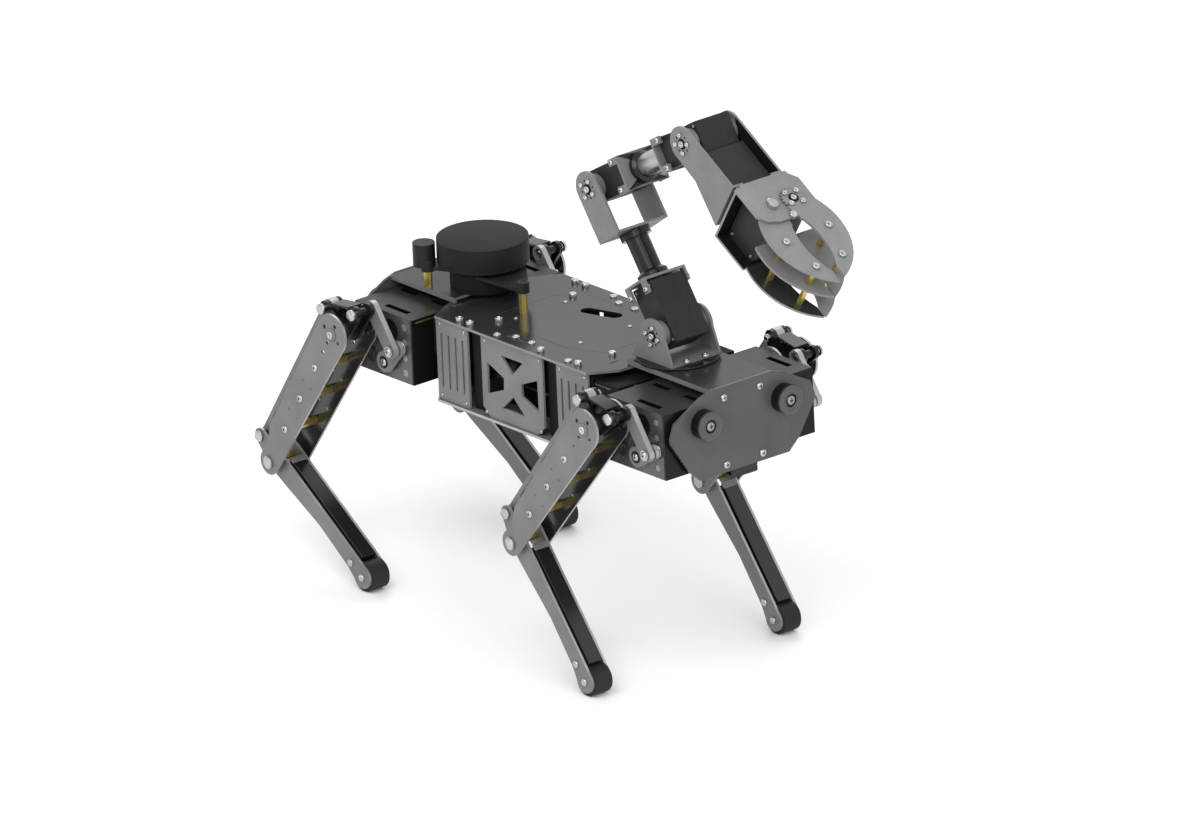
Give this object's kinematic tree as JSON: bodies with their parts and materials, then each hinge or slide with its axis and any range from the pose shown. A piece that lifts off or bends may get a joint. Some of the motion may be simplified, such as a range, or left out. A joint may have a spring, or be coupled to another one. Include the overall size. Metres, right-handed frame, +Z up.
{
  "type": "quadruped robot",
  "caption": "Four-legged walking robot with parallelogram leg linkages, a jointed roof arm with a two-finger gripper and a round spinning scanner.",
  "frame": {"origin": "floor level under the middle of the overall box", "axes": "+X ahead, +Y to the robot's left, +Z up; the body is nose-up by 3.7 degrees on its feet"},
  "size_m": [0.5608, 0.218, 0.4483],
  "materials": {
    "slot_top_plate": "gloss",
    "slot_lid": "gloss",
    "slot_bottom_plate": "satin",
    "slot_side_panels": "satin",
    "slot_end_plates": "satin",
    "slot_roof_brackets": "satin",
    "slot_electronics": "matte",
    "slot_scanner_base": "matte",
    "slot_scanner_head": "matte",
    "slot_arm_waist": "satin",
    "slot_upper_arm": "satin",
    "slot_forearm": "satin",
    "slot_wrist": "satin",
    "slot_palm": "satin",
    "slot_finger_left": "satin",
    "slot_finger_right": "satin",
    "slot_hip_box": "gloss",
    "slot_hip_servos": "satin",
    "slot_thigh": "satin",
    "slot_shank": "satin",
    "slot_foot": "matte",
    "slot_rocker": "satin",
    "slot_rod": "satin",
    "slot_crank_horn": "bright",
    "slot_crank": "satin",
    "slot_crank_pin": "bright",
    "slot_link": "satin"
  },
  "bodies": {
    "body": {"top_plate": "slot_top_plate", "lid": "slot_lid", "bottom_plate": "slot_bottom_plate", "side_panels": "slot_side_panels", "end_plates": "slot_end_plates", "roof_brackets": "slot_roof_brackets", "electronics": "slot_electronics", "scanner_base": "slot_scanner_base"},
    "scanner_head": {"scanner_head": "slot_scanner_head"},
    "arm_waist": {"arm_waist": "slot_arm_waist"},
    "upper_arm": {"upper_arm": "slot_upper_arm"},
    "forearm": {"forearm": "slot_forearm"},
    "wrist": {"wrist": "slot_wrist"},
    "palm": {"palm": "slot_palm"},
    "finger_left": {"finger_left": "slot_finger_left"},
    "finger_right": {"finger_right": "slot_finger_right"},
    "front_right_hip": {"front_right_hip_box": "slot_hip_box", "front_right_hip_servos": "slot_hip_servos"},
    "front_right_thigh": {"front_right_thigh": "slot_thigh"},
    "front_right_rocker": {"front_right_rocker": "slot_rocker"},
    "front_right_crank": {"front_right_crank": "slot_crank"},
    "front_right_link": {"front_right_link": "slot_link"},
    "front_right_shank": {"front_right_shank": "slot_shank", "front_right_foot": "slot_foot"},
    "front_right_crank_horn": {"front_right_crank_horn": "slot_crank_horn"},
    "front_right_crank_pin": {"front_right_crank_pin": "slot_crank_pin"},
    "front_right_rod": {"front_right_rod": "slot_rod"},
    "front_left_hip": {"front_left_hip_box": "slot_hip_box", "front_left_hip_servos": "slot_hip_servos"},
    "front_left_thigh": {"front_left_thigh": "slot_thigh"},
    "front_left_rocker": {"front_left_rocker": "slot_rocker"},
    "front_left_crank": {"front_left_crank": "slot_crank"},
    "front_left_link": {"front_left_link": "slot_link"},
    "front_left_shank": {"front_left_shank": "slot_shank", "front_left_foot": "slot_foot"},
    "front_left_crank_horn": {"front_left_crank_horn": "slot_crank_horn"},
    "front_left_crank_pin": {"front_left_crank_pin": "slot_crank_pin"},
    "front_left_rod": {"front_left_rod": "slot_rod"},
    "rear_right_hip": {"rear_right_hip_box": "slot_hip_box", "rear_right_hip_servos": "slot_hip_servos"},
    "rear_right_thigh": {"rear_right_thigh": "slot_thigh"},
    "rear_right_rocker": {"rear_right_rocker": "slot_rocker"},
    "rear_right_crank": {"rear_right_crank": "slot_crank"},
    "rear_right_link": {"rear_right_link": "slot_link"},
    "rear_right_shank": {"rear_right_shank": "slot_shank", "rear_right_foot": "slot_foot"},
    "rear_right_crank_horn": {"rear_right_crank_horn": "slot_crank_horn"},
    "rear_right_crank_pin": {"rear_right_crank_pin": "slot_crank_pin"},
    "rear_right_rod": {"rear_right_rod": "slot_rod"},
    "rear_left_hip": {"rear_left_hip_box": "slot_hip_box", "rear_left_hip_servos": "slot_hip_servos"},
    "rear_left_thigh": {"rear_left_thigh": "slot_thigh"},
    "rear_left_rocker": {"rear_left_rocker": "slot_rocker"},
    "rear_left_crank": {"rear_left_crank": "slot_crank"},
    "rear_left_link": {"rear_left_link": "slot_link"},
    "rear_left_shank": {"rear_left_shank": "slot_shank", "rear_left_foot": "slot_foot"},
    "rear_left_crank_horn": {"rear_left_crank_horn": "slot_crank_horn"},
    "rear_left_crank_pin": {"rear_left_crank_pin": "slot_crank_pin"},
    "rear_left_rod": {"rear_left_rod": "slot_rod"}
  },
  "joints": [
    {"name": "scanner_spin", "type": "hinge", "parent": "body", "child": "scanner_head", "pos_m": [-0.13713, 0, 0.24723], "axis": [-0.0645, 0, 0.9979], "continuous": true},
    {"name": "arm_yaw", "type": "hinge", "parent": "body", "child": "arm_waist", "pos_m": [0.08855, 0, 0.24237], "axis": [-0.0645, 0, 0.9979], "range_deg": [-60, 60]},
    {"name": "shoulder", "type": "hinge", "parent": "arm_waist", "child": "upper_arm", "pos_m": [0.08709, 0, 0.26492], "axis": [0, -1, 0], "range_deg": [-5, 35]},
    {"name": "elbow", "type": "hinge", "parent": "upper_arm", "child": "forearm", "pos_m": [0.01225, 0, 0.35936], "axis": [0, -1, 0], "range_deg": [-5, 60]},
    {"name": "wrist_pitch", "type": "hinge", "parent": "forearm", "child": "wrist", "pos_m": [0.12149, 0, 0.43166], "axis": [0, -1, 0], "range_deg": [-15, 60]},
    {"name": "wrist_roll", "type": "hinge", "parent": "wrist", "child": "palm", "pos_m": [0.17148, 0, 0.39793], "axis": [0.8805, 0, -0.4741], "range_deg": [-90, 90]},
    {"name": "grip", "type": "hinge", "parent": "palm", "child": "finger_left", "pos_m": [0.20934, 0.01, 0.40707], "axis": [0.4741, 0, 0.8805], "range_deg": [0, 30]},
    {"name": "grip_follow", "type": "hinge", "parent": "palm", "child": "finger_right", "pos_m": [0.20934, -0.01, 0.40707], "axis": [0.4741, 0, 0.8805], "range_deg": [-30, 0]},
    {"name": "front_right_roll", "type": "hinge", "parent": "body", "child": "front_right_hip", "pos_m": [0.10633, -0.0389, 0.21997], "axis": [0.9979, 0, 0.0645], "range_deg": [-12, 12]},
    {"name": "front_right_pitch", "type": "hinge", "parent": "front_right_hip", "child": "front_right_thigh", "pos_m": [0.10642, -0.0914, 0.21867], "axis": [0, -1, 0], "range_deg": [-12, 12]},
    {"name": "front_right_knee", "type": "hinge", "parent": "front_right_thigh", "child": "front_right_shank", "pos_m": [0.02324, -0.0914, 0.0999], "axis": [0, -1, 0], "range_deg": [-14, 14]},
    {"name": "front_right_rocker_turn", "type": "hinge", "parent": "front_right_thigh", "child": "front_right_rocker", "pos_m": [0.10642, -0.0914, 0.21867], "axis": [0, -1, 0], "range_deg": [-14, 14]},
    {"name": "front_right_rod_turn", "type": "hinge", "parent": "front_right_rocker", "child": "front_right_rod", "pos_m": [0.09368, -0.0914, 0.23697], "axis": [0, -1, 0], "range_deg": [-14, 14]},
    {"name": "front_right_horn_turn", "type": "hinge", "parent": "front_right_hip", "child": "front_right_crank_horn", "pos_m": [0.13217, -0.0914, 0.19699], "axis": [0, -1, 0], "range_deg": [-16.5, 16.5]},
    {"name": "front_right_crank_turn", "type": "hinge", "parent": "front_right_crank_horn", "child": "front_right_crank", "pos_m": [0.13217, -0.0914, 0.19699], "axis": [0, -1, 0], "range_deg": [-19.1, 19.1]},
    {"name": "front_right_crank_pin_turn", "type": "hinge", "parent": "front_right_crank", "child": "front_right_crank_pin", "pos_m": [0.15004, -0.0914, 0.20597], "axis": [0, -1, 0], "range_deg": [-15.5, 15.5]},
    {"name": "front_right_link_turn", "type": "hinge", "parent": "front_right_crank_pin", "child": "front_right_link", "pos_m": [0.15004, -0.0914, 0.20597], "axis": [0, -1, 0], "range_deg": [-18, 18]},
    {"name": "front_left_roll", "type": "hinge", "parent": "body", "child": "front_left_hip", "pos_m": [0.10633, 0.0389, 0.21997], "axis": [0.9979, 0, 0.0645], "range_deg": [-12, 12]},
    {"name": "front_left_pitch", "type": "hinge", "parent": "front_left_hip", "child": "front_left_thigh", "pos_m": [0.10642, 0.0914, 0.21867], "axis": [0, -1, 0], "range_deg": [-12, 12]},
    {"name": "front_left_knee", "type": "hinge", "parent": "front_left_thigh", "child": "front_left_shank", "pos_m": [0.02324, 0.0914, 0.0999], "axis": [0, -1, 0], "range_deg": [-14, 14]},
    {"name": "front_left_rocker_turn", "type": "hinge", "parent": "front_left_thigh", "child": "front_left_rocker", "pos_m": [0.10642, 0.0914, 0.21867], "axis": [0, -1, 0], "range_deg": [-14, 14]},
    {"name": "front_left_rod_turn", "type": "hinge", "parent": "front_left_rocker", "child": "front_left_rod", "pos_m": [0.09368, 0.0914, 0.23697], "axis": [0, -1, 0], "range_deg": [-14, 14]},
    {"name": "front_left_horn_turn", "type": "hinge", "parent": "front_left_hip", "child": "front_left_crank_horn", "pos_m": [0.13217, 0.0914, 0.19699], "axis": [0, -1, 0], "range_deg": [-16.5, 16.5]},
    {"name": "front_left_crank_turn", "type": "hinge", "parent": "front_left_crank_horn", "child": "front_left_crank", "pos_m": [0.13217, 0.0914, 0.19699], "axis": [0, -1, 0], "range_deg": [-19.1, 19.1]},
    {"name": "front_left_crank_pin_turn", "type": "hinge", "parent": "front_left_crank", "child": "front_left_crank_pin", "pos_m": [0.15004, 0.0914, 0.20597], "axis": [0, -1, 0], "range_deg": [-15.5, 15.5]},
    {"name": "front_left_link_turn", "type": "hinge", "parent": "front_left_crank_pin", "child": "front_left_link", "pos_m": [0.15004, 0.0914, 0.20597], "axis": [0, -1, 0], "range_deg": [-18, 18]},
    {"name": "rear_right_roll", "type": "hinge", "parent": "body", "child": "rear_right_hip", "pos_m": [-0.18546, -0.0389, 0.20112], "axis": [0.9979, 0, 0.0645], "range_deg": [-12, 12]},
    {"name": "rear_right_pitch", "type": "hinge", "parent": "rear_right_hip", "child": "rear_right_thigh", "pos_m": [-0.18538, -0.0914, 0.19982], "axis": [0, -1, 0], "range_deg": [-12, 12]},
    {"name": "rear_right_knee", "type": "hinge", "parent": "rear_right_thigh", "child": "rear_right_shank", "pos_m": [-0.25692, -0.0914, 0.0737], "axis": [0, -1, 0], "range_deg": [-14, 14]},
    {"name": "rear_right_rocker_turn", "type": "hinge", "parent": "rear_right_thigh", "child": "rear_right_rocker", "pos_m": [-0.18538, -0.0914, 0.19982], "axis": [0, -1, 0], "range_deg": [-14, 14]},
    {"name": "rear_right_rod_turn", "type": "hinge", "parent": "rear_right_rocker", "child": "rear_right_rod", "pos_m": [-0.20285, -0.0914, 0.21368], "axis": [0, -1, 0], "range_deg": [-14, 14]},
    {"name": "rear_right_horn_turn", "type": "hinge", "parent": "rear_right_hip", "child": "rear_right_crank_horn", "pos_m": [-0.15962, -0.0914, 0.17813], "axis": [0, -1, 0], "range_deg": [-16.2, 16.2]},
    {"name": "rear_right_crank_turn", "type": "hinge", "parent": "rear_right_crank_horn", "child": "rear_right_crank", "pos_m": [-0.15962, -0.0914, 0.17813], "axis": [0, -1, 0], "range_deg": [-18.8, 18.8]},
    {"name": "rear_right_crank_pin_turn", "type": "hinge", "parent": "rear_right_crank", "child": "rear_right_crank_pin", "pos_m": [-0.14591, -0.0914, 0.19269], "axis": [0, -1, 0], "range_deg": [-15.9, 15.9]},
    {"name": "rear_right_link_turn", "type": "hinge", "parent": "rear_right_crank_pin", "child": "rear_right_link", "pos_m": [-0.14591, -0.0914, 0.19269], "axis": [0, -1, 0], "range_deg": [-18.4, 18.4]},
    {"name": "rear_left_roll", "type": "hinge", "parent": "body", "child": "rear_left_hip", "pos_m": [-0.18546, 0.0389, 0.20112], "axis": [0.9979, 0, 0.0645], "range_deg": [-12, 12]},
    {"name": "rear_left_pitch", "type": "hinge", "parent": "rear_left_hip", "child": "rear_left_thigh", "pos_m": [-0.18538, 0.0914, 0.19982], "axis": [0, -1, 0], "range_deg": [-12, 12]},
    {"name": "rear_left_knee", "type": "hinge", "parent": "rear_left_thigh", "child": "rear_left_shank", "pos_m": [-0.25692, 0.0914, 0.0737], "axis": [0, -1, 0], "range_deg": [-14, 14]},
    {"name": "rear_left_rocker_turn", "type": "hinge", "parent": "rear_left_thigh", "child": "rear_left_rocker", "pos_m": [-0.18538, 0.0914, 0.19982], "axis": [0, -1, 0], "range_deg": [-14, 14]},
    {"name": "rear_left_rod_turn", "type": "hinge", "parent": "rear_left_rocker", "child": "rear_left_rod", "pos_m": [-0.20285, 0.0914, 0.21368], "axis": [0, -1, 0], "range_deg": [-14, 14]},
    {"name": "rear_left_horn_turn", "type": "hinge", "parent": "rear_left_hip", "child": "rear_left_crank_horn", "pos_m": [-0.15962, 0.0914, 0.17813], "axis": [0, -1, 0], "range_deg": [-16.2, 16.2]},
    {"name": "rear_left_crank_turn", "type": "hinge", "parent": "rear_left_crank_horn", "child": "rear_left_crank", "pos_m": [-0.15962, 0.0914, 0.17813], "axis": [0, -1, 0], "range_deg": [-18.8, 18.8]},
    {"name": "rear_left_crank_pin_turn", "type": "hinge", "parent": "rear_left_crank", "child": "rear_left_crank_pin", "pos_m": [-0.14591, 0.0914, 0.19269], "axis": [0, -1, 0], "range_deg": [-15.9, 15.9]},
    {"name": "rear_left_link_turn", "type": "hinge", "parent": "rear_left_crank_pin", "child": "rear_left_link", "pos_m": [-0.14591, 0.0914, 0.19269], "axis": [0, -1, 0], "range_deg": [-18.4, 18.4]}
  ],
  "couplings": [
    {"joint": "grip_follow", "follows": "grip", "ratio": -1},
    {"joint": "front_right_rocker_turn", "follows": "front_right_knee", "ratio": 1},
    {"joint": "front_right_rod_turn", "follows": "front_right_knee", "ratio": -1},
    {"joint": "front_right_horn_turn", "follows": "front_right_pitch", "ratio": 1.33},
    {"joint": "front_right_crank_turn", "follows": "front_right_knee", "ratio": 1.33},
    {"joint": "front_right_crank_pin_turn", "follows": "front_right_pitch", "ratio": -1.25},
    {"joint": "front_right_link_turn", "follows": "front_right_knee", "ratio": -1.25},
    {"joint": "front_left_rocker_turn", "follows": "front_left_knee", "ratio": 1},
    {"joint": "front_left_rod_turn", "follows": "front_left_knee", "ratio": -1},
    {"joint": "front_left_horn_turn", "follows": "front_left_pitch", "ratio": 1.33},
    {"joint": "front_left_crank_turn", "follows": "front_left_knee", "ratio": 1.33},
    {"joint": "front_left_crank_pin_turn", "follows": "front_left_pitch", "ratio": -1.25},
    {"joint": "front_left_link_turn", "follows": "front_left_knee", "ratio": -1.25},
    {"joint": "rear_right_rocker_turn", "follows": "rear_right_knee", "ratio": 1},
    {"joint": "rear_right_rod_turn", "follows": "rear_right_knee", "ratio": -1},
    {"joint": "rear_right_horn_turn", "follows": "rear_right_pitch", "ratio": 1.31},
    {"joint": "rear_right_crank_turn", "follows": "rear_right_knee", "ratio": 1.31},
    {"joint": "rear_right_crank_pin_turn", "follows": "rear_right_pitch", "ratio": -1.28},
    {"joint": "rear_right_link_turn", "follows": "rear_right_knee", "ratio": -1.28},
    {"joint": "rear_left_rocker_turn", "follows": "rear_left_knee", "ratio": 1},
    {"joint": "rear_left_rod_turn", "follows": "rear_left_knee", "ratio": -1},
    {"joint": "rear_left_horn_turn", "follows": "rear_left_pitch", "ratio": 1.31},
    {"joint": "rear_left_crank_turn", "follows": "rear_left_knee", "ratio": 1.31},
    {"joint": "rear_left_crank_pin_turn", "follows": "rear_left_pitch", "ratio": -1.28},
    {"joint": "rear_left_link_turn", "follows": "rear_left_knee", "ratio": -1.28}
  ]
}
